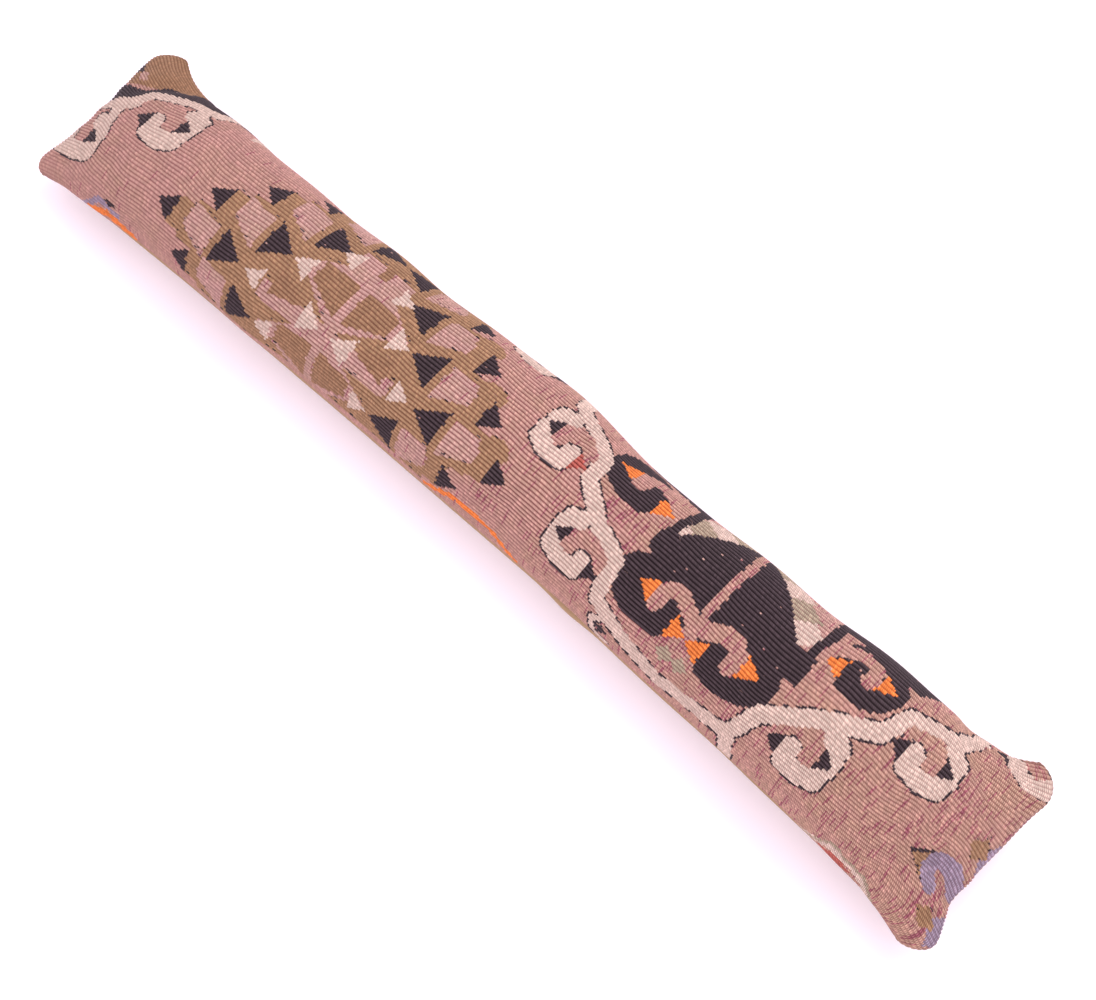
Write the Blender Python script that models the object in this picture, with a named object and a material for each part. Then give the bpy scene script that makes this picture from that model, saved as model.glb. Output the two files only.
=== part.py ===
"""Draught excluder: a long stuffed tube, kilim on top and plain cotton underneath, lying on its cotton back.

The two panels are sewn together along a seam that runs right round the tube, low on its sides. Each panel is
built as the half of the stuffed form that it covers, down or up to the seam: the kilim front with its crown,
its ears and its woven ribs, and the cotton back with the flat that it rests on.

Metres, +Z up. X runs along the tube and Y across it, with the near side at -Y. The surface is at Z = 0.
"""

from collections import namedtuple

import bmesh
import bpy
import numpy as np

# Driving sizes
LENGTH = 0.900
RIB_COUNT = 60
RIB_RELIEF = 0.0008
RIB_SHARPNESS = np.radians(25)
SEAM_GAP = 0.0003

# Heights above the surface
SEAM_HEIGHT = 0.034
SEAM_TILT = 0.0625  # the seam is higher on the far side, as the tube has rolled a little towards -Y
WIDEST_HEIGHT = 0.040
UNDER_DEPTH = 0.047  # more than the widest line's height, so the underside is pressed flat

# How far the panels' edges turn in under the widest line, at full stuffing
TUCK_NEAR = np.radians(12)
TUCK_FAR = np.radians(2)

# The stuffing: it thins out towards both end seams, and leaves the corners as flat ears
FILL_REACH = 0.140
FILL_POWER = 1.9
EAR_PINCH = 1.2
EDGE_SETTLE = 6  # how sharply a section bends down to its seam

# The end seams bow and pull in over this distance from each end
END_REACH = 0.080

# Sections along the tube, from the end at -X: half widths to each side, and the crown's height
Section = namedtuple("Section", "at near far crown")
SECTIONS = (
    Section(at=0.00, near=0.0805, far=0.0725, crown=0.086),
    Section(at=0.03, near=0.0775, far=0.0640, crown=0.086),
    Section(at=0.08, near=0.0740, far=0.0575, crown=0.087),
    Section(at=0.15, near=0.0700, far=0.0545, crown=0.088),
    Section(at=0.25, near=0.0670, far=0.0565, crown=0.088),
    Section(at=0.35, near=0.0650, far=0.0600, crown=0.088),
    Section(at=0.45, near=0.0630, far=0.0640, crown=0.087),
    Section(at=0.54, near=0.0605, far=0.0640, crown=0.085),
    Section(at=0.63, near=0.0590, far=0.0600, crown=0.086),
    Section(at=0.72, near=0.0630, far=0.0620, crown=0.090),
    Section(at=0.82, near=0.0635, far=0.0630, crown=0.093),
    Section(at=0.91, near=0.0665, far=0.0640, crown=0.092),
    Section(at=0.97, near=0.0725, far=0.0710, crown=0.088),
    Section(at=1.00, near=0.0775, far=0.0805, crown=0.086),
)

# How far each end seam stands out, from the near corner (-1) to the far corner (1)
Bow = namedtuple("Bow", "across out")
START_BOWS = (
    Bow(across=-1.00, out=0.004),
    Bow(across=-0.85, out=0.003),
    Bow(across=-0.50, out=0.000),
    Bow(across=-0.20, out=0.000),
    Bow(across=0.10, out=0.001),
    Bow(across=0.30, out=0.003),
    Bow(across=0.60, out=0.006),
    Bow(across=0.85, out=0.006),
    Bow(across=1.00, out=0.003),
)
FINISH_BOWS = (
    Bow(across=-1.00, out=0.007),
    Bow(across=-0.85, out=0.007),
    Bow(across=-0.70, out=0.003),
    Bow(across=-0.50, out=-0.003),
    Bow(across=-0.20, out=-0.003),
    Bow(across=0.20, out=-0.001),
    Bow(across=0.60, out=0.001),
    Bow(across=0.85, out=0.004),
    Bow(across=1.00, out=0.006),
)

# Each end: its bows, and the radius of its near and far corner
End = namedtuple("End", "bows near_corner far_corner")
START = End(bows=START_BOWS, near_corner=0.014, far_corner=0.020)
FINISH = End(bows=FINISH_BOWS, near_corner=0.022, far_corner=0.024)

# Soft folds in the kilim, as straight lines in plan. A depth below zero is a ridge.
Fold = namedtuple("Fold", "x0 y0 x1 y1 width depth")
FOLDS = (
    # the start: behind the near ear, behind the far ear, and the swell between them
    Fold(x0=-0.425, y0=-0.060, x1=-0.385, y1=-0.038, width=0.011, depth=0.0040),
    Fold(x0=-0.400, y0=0.050, x1=-0.425, y1=0.022, width=0.010, depth=0.0035),
    Fold(x0=-0.400, y0=0.000, x1=-0.335, y1=-0.030, width=0.012, depth=0.0022),
    Fold(x0=-0.405, y0=-0.022, x1=-0.345, y1=-0.050, width=0.010, depth=-0.0016),
    # the middle: hollows where the stuffing has settled
    Fold(x0=-0.245, y0=-0.040, x1=-0.170, y1=-0.052, width=0.016, depth=0.0018),
    Fold(x0=-0.030, y0=0.012, x1=0.045, y1=0.030, width=0.022, depth=0.0022),
    Fold(x0=0.050, y0=-0.046, x1=0.120, y1=-0.034, width=0.014, depth=0.0024),
    # the finish: behind the near ear, its pucker, and behind the far ear
    Fold(x0=0.395, y0=-0.060, x1=0.422, y1=-0.030, width=0.009, depth=0.0040),
    Fold(x0=0.440, y0=-0.036, x1=0.405, y1=-0.020, width=0.007, depth=0.0026),
    Fold(x0=0.385, y0=0.058, x1=0.418, y1=0.026, width=0.010, depth=0.0036),
    Fold(x0=0.428, y0=0.048, x1=0.400, y1=0.010, width=0.009, depth=-0.0014),
)

# Uneven stuffing, as slow waves along the tube that lean across it
Wave = namedtuple("Wave", "length lean phase height")
WAVES = (
    Wave(length=0.310, lean=9.0, phase=0.4, height=0.0012),
    Wave(length=0.170, lean=-17.0, phase=2.1, height=0.0008),
    Wave(length=0.094, lean=26.0, phase=4.4, height=0.0005),
)

# Small puckers where the end seams gather the cloth
PUCKER_COUNT = 7
PUCKER_HEIGHT = 0.0012
PUCKER_REACH = 0.020
PUCKER_START = 0.005

# Relief dies out where the stuffing is thinner than this
RELIEF_DEPTH = 0.010

# Points: two for each rib across the front, and closer together towards the ends
FRONT_COLUMNS = 2 * RIB_COUNT
BACK_COLUMNS = 32
ROW_COUNT = 48
ROW_CROWDING = 0.75
DENSE_STEPS = 240

KILIM_ROSE = (0.43, 0.23, 0.20, 1.0)
COTTON_TAN = (0.62, 0.42, 0.24, 1.0)


def clear_scene():
    for obj in list(bpy.data.objects):
        bpy.data.objects.remove(obj, do_unlink=True)


def column(table, name):
    return np.array([getattr(row, name) for row in table])


def through(places, values, at):
    """A smooth curve through the rows of a table, read at any number of places."""
    slopes = np.gradient(values, places)
    row = np.clip(np.searchsorted(places, at) - 1, 0, len(places) - 2)
    span = places[row + 1] - places[row]
    t = np.clip((at - places[row]) / span, 0.0, 1.0)
    rise = values[row] + (values[row + 1] - values[row]) * t * t * (3 - 2 * t)
    leave = slopes[row] * span * t * (1 - t) ** 2
    arrive = slopes[row + 1] * span * t * t * (1 - t)
    return rise + leave - arrive


def seam_plane(y):
    return SEAM_HEIGHT + SEAM_TILT * y


def fill_at(from_end):
    """How full the tube is at this distance from an end seam, 0 to 1."""
    t = np.clip(from_end / FILL_REACH, 0.0, 1.0)
    return (1 - (1 - t) ** FILL_POWER) ** (1 / FILL_POWER)


def end_shift(end, y, near, far):
    """How far an end seam stands out at y, with its bow and its two round corners."""
    across = np.clip(np.where(y < 0, y / near, y / far), -1.0, 1.0)
    bow = through(column(end.bows, "across"), column(end.bows, "out"), across)
    half = np.where(y < 0, near, far)
    radius = np.where(y < 0, end.near_corner, end.far_corner)
    into = np.clip((np.abs(y) - (half - radius)) / radius, 0.0, 1.0)
    return bow - radius * (1 - np.sqrt(1 - into * into))


def smooth_sections(stations, front):
    """Points round each section's front or back, from the near seam to the far one, close together."""
    at = column(SECTIONS, "at")
    near, far, crown = (
        through(at, column(SECTIONS, name), stations)[:, None] for name in ("near", "far", "crown")
    )
    from_start = (stations * LENGTH)[:, None]
    from_finish = LENGTH - from_start
    fill = np.minimum(fill_at(from_start), fill_at(from_finish))
    step = np.linspace(0.0, 1.0, DENSE_STEPS + 1)[None]
    first = np.pi + TUCK_NEAR * fill
    last = -TUCK_FAR * fill if front else 2 * np.pi - TUCK_FAR * fill
    angle = first * (1 - step) + last * step
    y = np.where(np.cos(angle) < 0, near, far) * np.cos(angle)
    height = np.sign(np.sin(angle)) * np.abs(np.sin(angle)) ** (1 + EAR_PINCH * (1 - fill))
    full = WIDEST_HEIGHT + height * np.where(height > 0, crown - WIDEST_HEIGHT, UNDER_DEPTH)
    seam = seam_plane(y)
    z = seam + fill * (full - seam)
    z = z + (seam - z)[:, :1] * (1 - step) ** EDGE_SETTLE + (seam - z)[:, -1:] * step**EDGE_SETTLE
    pull_start = np.clip(1 - from_start / END_REACH, 0.0, 1.0) ** 2
    pull_finish = np.clip(1 - from_finish / END_REACH, 0.0, 1.0) ** 2
    x = from_start - LENGTH / 2
    x = x - pull_start * end_shift(START, y, near, far) + pull_finish * end_shift(FINISH, y, near, far)
    return np.stack([x, y, z], axis=-1)


def spaced_evenly(sections, columns):
    """The same sections with this many equal steps of cloth from seam to seam."""
    lengths = np.linalg.norm(np.diff(sections, axis=1), axis=2)
    walked = np.concatenate([np.zeros((len(sections), 1)), np.cumsum(lengths, axis=1)], axis=1)
    share = np.linspace(0.0, 1.0, columns + 1)
    points = np.empty((len(sections), columns + 1, 3))
    for row, (section, walk) in enumerate(zip(sections, walked)):
        for axis in range(3):
            points[row, :, axis] = np.interp(share * walk[-1], walk, section[:, axis])
    return points


def fold_depth(x, y):
    """How deep the folds press the kilim in at each place in plan."""
    depth = np.zeros_like(x)
    for fold in FOLDS:
        run = np.array([fold.x1 - fold.x0, fold.y1 - fold.y0])
        t = ((x - fold.x0) * run[0] + (y - fold.y0) * run[1]) / (run @ run)
        t = np.clip(t, 0.0, 1.0)
        away = np.hypot(x - fold.x0 - t * run[0], y - fold.y0 - t * run[1])
        depth += fold.depth * np.exp(-((away / fold.width) ** 2))
    return depth


def wave_height(x, y):
    height = np.zeros_like(x)
    for wave in WAVES:
        height += wave.height * np.sin(2 * np.pi * x / wave.length + wave.lean * y + wave.phase)
    return height


def pucker_height(x, share):
    """The gathers that run in from both end seams."""
    from_end = LENGTH / 2 - np.abs(x)
    rise = np.exp(-np.clip(from_end, 0.0, None) / PUCKER_REACH)
    rise = rise * (1 - np.exp(-np.clip(from_end, 0.0, None) / PUCKER_START))
    return PUCKER_HEIGHT * rise * np.cos(2 * np.pi * PUCKER_COUNT * share + np.sign(x))


def outward(points):
    """Unit normals of a grid of points, away from the tube's middle."""
    along = np.gradient(points, axis=0)
    across = np.gradient(points, axis=1)
    normals = np.cross(along, across)
    return normals / np.linalg.norm(normals, axis=2, keepdims=True)


def row_stations():
    t = np.linspace(0.0, 1.0, ROW_COUNT + 1)
    return t - ROW_CROWDING * np.sin(2 * np.pi * t) / (2 * np.pi)


def front_points():
    """The kilim: the smooth form, its folds and its ribs, down to the seam all round."""
    points = spaced_evenly(smooth_sections(row_stations(), front=True), FRONT_COLUMNS)
    x, y, z = points[..., 0], points[..., 1], points[..., 2]
    share = np.linspace(0.0, 1.0, FRONT_COLUMNS + 1)[None]
    relief = np.clip((z - seam_plane(y)) / RELIEF_DEPTH, 0.0, 1.0)
    crests = np.where(np.arange(FRONT_COLUMNS + 1) % 2 == 1, RIB_RELIEF / 2, -RIB_RELIEF / 2)[None]
    lift = wave_height(x, y) + pucker_height(x, share) - fold_depth(x, y) + crests
    points = points + outward(points) * (relief * lift)[..., None]
    points[..., 2] += SEAM_GAP / 2
    return points


def back_points():
    """The cotton: the underside of the same form, pressed flat on the surface."""
    points = spaced_evenly(smooth_sections(row_stations(), front=False), BACK_COLUMNS)
    x, y, z = points[..., 0], points[..., 1], points[..., 2]
    share = np.linspace(0.0, 1.0, BACK_COLUMNS + 1)[None]
    relief = np.clip((seam_plane(y) - z) / RELIEF_DEPTH, 0.0, 1.0)
    points[..., 2] -= SEAM_GAP / 2 + relief * (wave_height(x, -y) + pucker_height(x, share))
    points[..., 2] = np.clip(points[..., 2], 0.0, None)
    return points


def fabric(name, colour, roughness):
    material = bpy.data.materials.new(name)
    material.use_nodes = True
    shader = material.node_tree.nodes["Principled BSDF"]
    shader.inputs["Base Color"].default_value = colour
    shader.inputs["Roughness"].default_value = roughness
    shader.inputs["Metallic"].default_value = 0.0
    material.diffuse_color = colour
    return material


def panel(name, points, material, collection):
    """One half of the tube: a grid laid over its points, closed by a flat face at the seam."""
    rows, columns = points.shape[0] - 1, points.shape[1] - 1
    bm = bmesh.new()
    bmesh.ops.create_grid(bm, x_segments=rows, y_segments=columns, size=0.5)
    for vert in bm.verts:
        row = round((vert.co.x + 0.5) * rows)
        step = round((vert.co.y + 0.5) * columns)
        vert.co = points[row, step]
    rim = [edge for edge in bm.edges if edge.is_boundary]
    closing = bmesh.ops.contextual_create(bm, geom=rim)["faces"]
    bmesh.ops.triangulate(bm, faces=closing, ngon_method="BEAUTY")
    bmesh.ops.recalc_face_normals(bm, faces=bm.faces)
    mesh = bpy.data.meshes.new(name)
    bm.to_mesh(mesh)
    bm.free()
    mesh.shade_smooth()
    mesh.set_sharp_from_angle(angle=RIB_SHARPNESS)
    mesh.materials.append(material)
    obj = bpy.data.objects.new(name, mesh)
    collection.objects.link(obj)
    return obj


def main():
    clear_scene()
    collection = bpy.data.collections.new("draught_excluder")
    bpy.context.scene.collection.children.link(collection)
    panel("kilim_front", front_points(), fabric("kilim_wool", KILIM_ROSE, 0.95), collection)
    panel("cotton_back", back_points(), fabric("back_cotton", COTTON_TAN, 0.90), collection)


main()
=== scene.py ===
"""Draught excluder: a long stuffed tube, an old kilim on top and tan cotton underneath.

The kilim's yarns are charted by rib and by weft, as a weaver would: one yarn for each rib at each pass of
the weft. Metres, +Z up. X runs along the tube and Y across it, with the near side at -Y. The surface that
the tube lies on is at Z = 0.
"""

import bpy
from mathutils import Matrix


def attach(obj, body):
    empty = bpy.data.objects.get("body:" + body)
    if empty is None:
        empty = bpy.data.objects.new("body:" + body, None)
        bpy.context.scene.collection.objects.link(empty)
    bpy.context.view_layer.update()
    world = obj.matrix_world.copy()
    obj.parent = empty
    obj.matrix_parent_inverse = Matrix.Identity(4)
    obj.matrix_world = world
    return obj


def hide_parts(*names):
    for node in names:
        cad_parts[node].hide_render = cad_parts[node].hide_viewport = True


bl_info = {
    "name": "Kilim Draught Excluder",
    "version": (1, 0, 0),
    "blender": (4, 5, 0),
    "location": "3D View > Sidebar > Draught Excluder",
    "description": "Dresses the packed draught excluder in its kilim, cotton, seam and stray wool",
    "category": "Add Mesh",
}

import functools
import math
from collections import namedtuple

import bmesh
import bpy
import numpy as np
from bpy.props import FloatProperty, FloatVectorProperty, IntProperty, PointerProperty
from mathutils import Matrix, Vector

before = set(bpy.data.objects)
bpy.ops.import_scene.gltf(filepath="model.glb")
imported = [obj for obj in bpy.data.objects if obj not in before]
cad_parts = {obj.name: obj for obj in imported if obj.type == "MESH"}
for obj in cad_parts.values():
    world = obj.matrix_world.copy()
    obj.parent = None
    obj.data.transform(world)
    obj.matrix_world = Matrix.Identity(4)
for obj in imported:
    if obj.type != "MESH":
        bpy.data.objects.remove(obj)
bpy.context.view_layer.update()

BODY = "root"
MM = 0.001

# ---------------- the stuffed form, in the sizes of the solids

LENGTH = 0.900
RIB_COUNT = 60
SEAM_GAP = 0.0003
SEAM_HEIGHT = 0.034
SEAM_TILT = 0.0625
WIDEST_HEIGHT = 0.040
UNDER_DEPTH = 0.047
TUCK_NEAR = math.radians(12)
TUCK_FAR = math.radians(2)
FILL_REACH = 0.140
FILL_POWER = 1.9
EAR_PINCH = 1.2
EDGE_SETTLE = 6
END_REACH = 0.080
RELIEF_DEPTH = 0.010
DENSE_STEPS = 240


def named_rows(fields, *rows):
    """A table whose rows give their values under these names."""
    row_type = namedtuple("Row", fields)
    return tuple(row_type(*row) for row in rows)


SECTIONS = named_rows(
    "at near far crown",
    (0.00, 0.0805, 0.0725, 0.086),
    (0.03, 0.0775, 0.0640, 0.086),
    (0.08, 0.0740, 0.0575, 0.087),
    (0.15, 0.0700, 0.0545, 0.088),
    (0.25, 0.0670, 0.0565, 0.088),
    (0.35, 0.0650, 0.0600, 0.088),
    (0.45, 0.0630, 0.0640, 0.087),
    (0.54, 0.0605, 0.0640, 0.085),
    (0.63, 0.0590, 0.0600, 0.086),
    (0.72, 0.0630, 0.0620, 0.090),
    (0.82, 0.0635, 0.0630, 0.093),
    (0.91, 0.0665, 0.0640, 0.092),
    (0.97, 0.0725, 0.0710, 0.088),
    (1.00, 0.0775, 0.0805, 0.086),
)

START_BOWS = named_rows(
    "across out",
    (-1.00, 0.004),
    (-0.85, 0.003),
    (-0.50, 0.000),
    (-0.20, 0.000),
    (0.10, 0.001),
    (0.30, 0.003),
    (0.60, 0.006),
    (0.85, 0.006),
    (1.00, 0.003),
)
FINISH_BOWS = named_rows(
    "across out",
    (-1.00, 0.007),
    (-0.85, 0.007),
    (-0.70, 0.003),
    (-0.50, -0.003),
    (-0.20, -0.003),
    (0.20, -0.001),
    (0.60, 0.001),
    (0.85, 0.004),
    (1.00, 0.006),
)
End = namedtuple("End", "bows near_corner far_corner")
START = End(bows=START_BOWS, near_corner=0.014, far_corner=0.020)
FINISH = End(bows=FINISH_BOWS, near_corner=0.022, far_corner=0.024)

# Soft folds in the kilim, as straight lines in plan. A depth below zero is a ridge.
FOLDS = named_rows(
    "x0 y0 x1 y1 width depth",
    (-0.425, -0.060, -0.385, -0.038, 0.011, 0.0040),
    (-0.400, 0.050, -0.425, 0.022, 0.010, 0.0035),
    (-0.400, 0.000, -0.335, -0.030, 0.012, 0.0022),
    (-0.405, -0.022, -0.345, -0.050, 0.010, -0.0016),
    (-0.245, -0.040, -0.170, -0.052, 0.016, 0.0018),
    (-0.030, 0.012, 0.045, 0.030, 0.022, 0.0022),
    (0.050, -0.046, 0.120, -0.034, 0.014, 0.0024),
    (0.395, -0.060, 0.422, -0.030, 0.009, 0.0040),
    (0.440, -0.036, 0.405, -0.020, 0.007, 0.0026),
    (0.385, 0.058, 0.418, 0.026, 0.010, 0.0036),
    (0.428, 0.048, 0.400, 0.010, 0.009, -0.0014),
)

WAVES = named_rows(
    "length lean phase height",
    (0.310, 9.0, 0.4, 0.0012),
    (0.170, -17.0, 2.1, 0.0008),
    (0.094, 26.0, 4.4, 0.0005),
)
PUCKER_COUNT = 7
PUCKER_HEIGHT = 0.0012
PUCKER_REACH = 0.020
PUCKER_START = 0.005


def column(table, name):
    return np.array([getattr(row, name) for row in table])


def through(places, values, at):
    """A smooth curve through the rows of a table, read at any number of places."""
    slopes = np.gradient(values, places)
    row = np.clip(np.searchsorted(places, at) - 1, 0, len(places) - 2)
    span = places[row + 1] - places[row]
    t = np.clip((at - places[row]) / span, 0.0, 1.0)
    rise = values[row] + (values[row + 1] - values[row]) * t * t * (3 - 2 * t)
    leave = slopes[row] * span * t * (1 - t) ** 2
    arrive = slopes[row + 1] * span * t * t * (1 - t)
    return rise + leave - arrive


def seam_plane(y):
    return SEAM_HEIGHT + SEAM_TILT * y


def fill_at(from_end):
    """How full the tube is at this distance from an end seam, 0 to 1."""
    t = np.clip(from_end / FILL_REACH, 0.0, 1.0)
    return (1 - (1 - t) ** FILL_POWER) ** (1 / FILL_POWER)


def end_shift(end, y, near, far):
    """How far an end seam stands out at y, with its bow and its two round corners."""
    across = np.clip(np.where(y < 0, y / near, y / far), -1.0, 1.0)
    bow = through(column(end.bows, "across"), column(end.bows, "out"), across)
    half = np.where(y < 0, near, far)
    radius = np.where(y < 0, end.near_corner, end.far_corner)
    into = np.clip((np.abs(y) - (half - radius)) / radius, 0.0, 1.0)
    return bow - radius * (1 - np.sqrt(1 - into * into))


def smooth_sections(stations, front):
    """Points round each section's front or back, from the near seam to the far one, close together."""
    at = column(SECTIONS, "at")
    near, far, crown = (
        through(at, column(SECTIONS, name), stations)[:, None] for name in ("near", "far", "crown")
    )
    from_start = (stations * LENGTH)[:, None]
    from_finish = LENGTH - from_start
    fill = np.minimum(fill_at(from_start), fill_at(from_finish))
    step = np.linspace(0.0, 1.0, DENSE_STEPS + 1)[None]
    first = np.pi + TUCK_NEAR * fill
    last = -TUCK_FAR * fill if front else 2 * np.pi - TUCK_FAR * fill
    angle = first * (1 - step) + last * step
    y = np.where(np.cos(angle) < 0, near, far) * np.cos(angle)
    height = np.sign(np.sin(angle)) * np.abs(np.sin(angle)) ** (1 + EAR_PINCH * (1 - fill))
    full = WIDEST_HEIGHT + height * np.where(height > 0, crown - WIDEST_HEIGHT, UNDER_DEPTH)
    seam = seam_plane(y)
    z = seam + fill * (full - seam)
    z = z + (seam - z)[:, :1] * (1 - step) ** EDGE_SETTLE + (seam - z)[:, -1:] * step**EDGE_SETTLE
    pull_start = np.clip(1 - from_start / END_REACH, 0.0, 1.0) ** 2
    pull_finish = np.clip(1 - from_finish / END_REACH, 0.0, 1.0) ** 2
    x = from_start - LENGTH / 2
    x = x - pull_start * end_shift(START, y, near, far) + pull_finish * end_shift(FINISH, y, near, far)
    return np.stack([x, y, z], axis=-1)


def spaced_evenly(sections, columns):
    """The same sections with this many equal steps of cloth from seam to seam."""
    lengths = np.linalg.norm(np.diff(sections, axis=1), axis=2)
    walked = np.concatenate([np.zeros((len(sections), 1)), np.cumsum(lengths, axis=1)], axis=1)
    share = np.linspace(0.0, 1.0, columns + 1)
    points = np.empty((len(sections), columns + 1, 3))
    for row, (section, walk) in enumerate(zip(sections, walked)):
        for axis in range(3):
            points[row, :, axis] = np.interp(share * walk[-1], walk, section[:, axis])
    return points


def fold_depth(x, y):
    """How deep the folds press the kilim in at each place in plan."""
    depth = np.zeros_like(x)
    for fold in FOLDS:
        run = np.array([fold.x1 - fold.x0, fold.y1 - fold.y0])
        t = ((x - fold.x0) * run[0] + (y - fold.y0) * run[1]) / (run @ run)
        t = np.clip(t, 0.0, 1.0)
        away = np.hypot(x - fold.x0 - t * run[0], y - fold.y0 - t * run[1])
        depth += fold.depth * np.exp(-((away / fold.width) ** 2))
    return depth


def wave_height(x, y):
    height = np.zeros_like(x)
    for wave in WAVES:
        height += wave.height * np.sin(2 * np.pi * x / wave.length + wave.lean * y + wave.phase)
    return height


def pucker_height(x, share):
    """The gathers that run in from both end seams."""
    from_end = LENGTH / 2 - np.abs(x)
    rise = np.exp(-np.clip(from_end, 0.0, None) / PUCKER_REACH)
    rise = rise * (1 - np.exp(-np.clip(from_end, 0.0, None) / PUCKER_START))
    return PUCKER_HEIGHT * rise * np.cos(2 * np.pi * PUCKER_COUNT * share + np.sign(x))


def outward(points):
    """Unit normals of a grid of points, away from the tube's middle."""
    along = np.gradient(points, axis=0)
    across = np.gradient(points, axis=1)
    normals = np.cross(along, across)
    return normals / np.linalg.norm(normals, axis=2, keepdims=True)


def folded(stations, columns, front):
    """One panel's points with its folds, waves and puckers, down to the seam all round."""
    points = spaced_evenly(smooth_sections(stations, front), columns)
    x, y, z = points[..., 0], points[..., 1], points[..., 2]
    share = np.linspace(0.0, 1.0, columns + 1)[None]
    from_seam = z - seam_plane(y) if front else seam_plane(y) - z
    relief = np.clip(from_seam / RELIEF_DEPTH, 0.0, 1.0)
    if front:
        lift = wave_height(x, y) + pucker_height(x, share) - fold_depth(x, y)
        return points + outward(points) * (relief * lift)[..., None]
    points[..., 2] -= relief * (wave_height(x, -y) + pucker_height(x, share))
    points[..., 2] = np.clip(points[..., 2], 0.0, None)
    return points


CROWD_AT = 0.330  # the ribs lie closest together here along the tube
CROWD_REACH = 0.150
CROWD_SHARE = 0.36  # and this far across, from the near seam
CROWD_LEAST = 0.008
CROWD_MORE = 0.032
WANDERS = named_rows(
    "length lean phase shift",
    (0.105, 2.6, 0.9, 0.0095),
    (0.047, -4.0, 2.2, 0.0034),
    (0.260, 1.5, 4.0, 0.0040),
    (0.037, 7.0, 1.3, 0.0034),
)
WANDER_REACH = 0.130  # the ribs stray most near the ends
WANDER_LEAST = 0.35


def rib_place(x, share):
    """Where a rib that would lie at this share of the width lies in fact, at x along the tube."""
    from_end = LENGTH / 2 - np.abs(x)
    loose = WANDER_LEAST + (1 - WANDER_LEAST) * np.exp(-((from_end / WANDER_REACH) ** 2))
    stray = 0.0
    for wander in WANDERS:
        turn = 2 * np.pi * x / wander.length + wander.lean * share + wander.phase
        stray = stray + wander.shift * np.sin(turn)
    crowd = CROWD_LEAST + CROWD_MORE * np.exp(-(((x - CROWD_AT) / CROWD_REACH) ** 2))
    pull = np.sin(2 * np.pi * (share - CROWD_SHARE)) + np.sin(2 * np.pi * CROWD_SHARE)
    return share + loose * stray * np.sin(np.pi * share) - crowd * pull


# ---------------- meshes and objects


def plain_mesh(name, points, edges=(), faces=()):
    mesh = bpy.data.meshes.new(name)
    mesh.from_pydata(np.reshape(points, (-1, 3)).tolist(), edges, np.asarray(faces).tolist())
    return mesh


def places_of(mesh):
    return np.array([vert.co for vert in mesh.vertices])


def added(name, data):
    """A new object in the scene, at the origin."""
    obj = bpy.data.objects.new(name, data)
    bpy.context.scene.collection.objects.link(obj)
    return obj


def grid_index(points):
    return np.arange(points[..., 0].size).reshape(points.shape[:2])


def grid_faces(index, turned=False):
    """The four-sided faces of a grid of points, which look the other way where they are turned."""
    corners = [index[:-1, :-1], index[1:, :-1], index[1:, 1:], index[:-1, 1:]]
    corners = corners[::-1] if turned else corners
    return np.stack([corner.ravel() for corner in corners], axis=1)


def rim_distance(points):
    """How far each point of a grid is from the grid's edge, in a straight line."""
    edges = (points[:, :1], points[:, -1:], points[:1], points[-1:])
    return np.minimum.reduce([np.linalg.norm(points - edge, axis=2) for edge in edges])


# ---------------- the stuffing, settled by a short cloth simulation

SIM_ROWS = 150
SIM_COLUMNS = 34
RESTING = 0.0012  # cloth lower than this lies on the surface and stays there
GATHER_REACH = 0.010  # the seam draws in the cloth this far from it
DRIFT_TURNS = 10  # waves along the tube that count as broad
DRIFT_REACH = 0.05
CLOTH = {
    "quality": 5,
    "mass": 0.25,
    "tension_stiffness": 18,
    "compression_stiffness": 18,
    "shear_stiffness": 4,
    "bending_stiffness": 1.2,
    "use_pressure": True,
    "vertex_group_mass": "held",
    "vertex_group_shrink": "gathered",
    "shrink_min": 0.0,
}


def bag_mesh(front, back):
    """Both panels as one closed bag, with the seam's points shared."""
    front_index = grid_index(front)
    back_index = front_index.copy()
    inner = back[1:-1, 1:-1]
    back_index[1:-1, 1:-1] = front_index.size + grid_index(inner)
    points = np.concatenate([front.reshape(-1, 3), inner.reshape(-1, 3)])
    faces = np.concatenate([grid_faces(front_index), grid_faces(back_index, turned=True)])
    return plain_mesh("stuffed_bag", points, faces=faces), front_index, back_index


def without_drift(moved, start):
    """The settling less its broad part, so that the outline stays as it was measured."""
    y, z = start[:, 1] / DRIFT_REACH, start[:, 2] / DRIFT_REACH
    along = np.pi * (start[:, 0] / LENGTH + 0.5)
    shapes = (np.ones_like(y), y, z, y * y, z * z, y * z)
    broad = [np.cos(turns * along) * shape for turns in range(DRIFT_TURNS) for shape in shapes]
    broad = np.stack(broad, axis=1)
    return moved - broad @ np.linalg.lstsq(broad, moved, rcond=None)[0]


def add_group(obj, name, weights):
    """A vertex group with every point whose weight is over 0."""
    group = obj.vertex_groups.new(name=name)
    for index in np.flatnonzero(weights > 0):
        group.add([int(index)], float(weights[index]), "REPLACE")


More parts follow.
